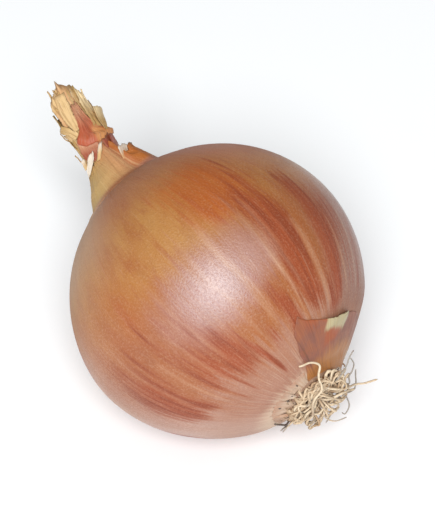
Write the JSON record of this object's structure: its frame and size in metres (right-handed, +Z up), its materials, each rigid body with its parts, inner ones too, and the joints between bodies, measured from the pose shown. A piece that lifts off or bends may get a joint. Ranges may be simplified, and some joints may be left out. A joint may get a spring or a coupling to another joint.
{
  "type": "onion",
  "caption": "Brown globe onion lying on its side: round bulb in papery skin, torn dry neck, a lifted scrap of outer skin and a tuft of dry roots.",
  "frame": {"origin": "middle of the small flat spot that the bulb rests on, at floor level", "axes": "+Z up; +X level towards the root end, so the neck points towards -X and a little up; +Y to the side that the neck leans to"},
  "size_m": [0.1128, 0.0776, 0.0771],
  "materials": {
    "skin": "satin",
    "straw": "matte",
    "red_scale": "satin",
    "roots": "matte",
    "torn_skin": "satin"
  },
  "bodies": {
    "root": {"bulb": "skin", "neck_leaves": "straw", "neck_red_scale": "red_scale", "root_tuft": "roots", "skin_scrap": "torn_skin"}
  },
  "joints": []
}
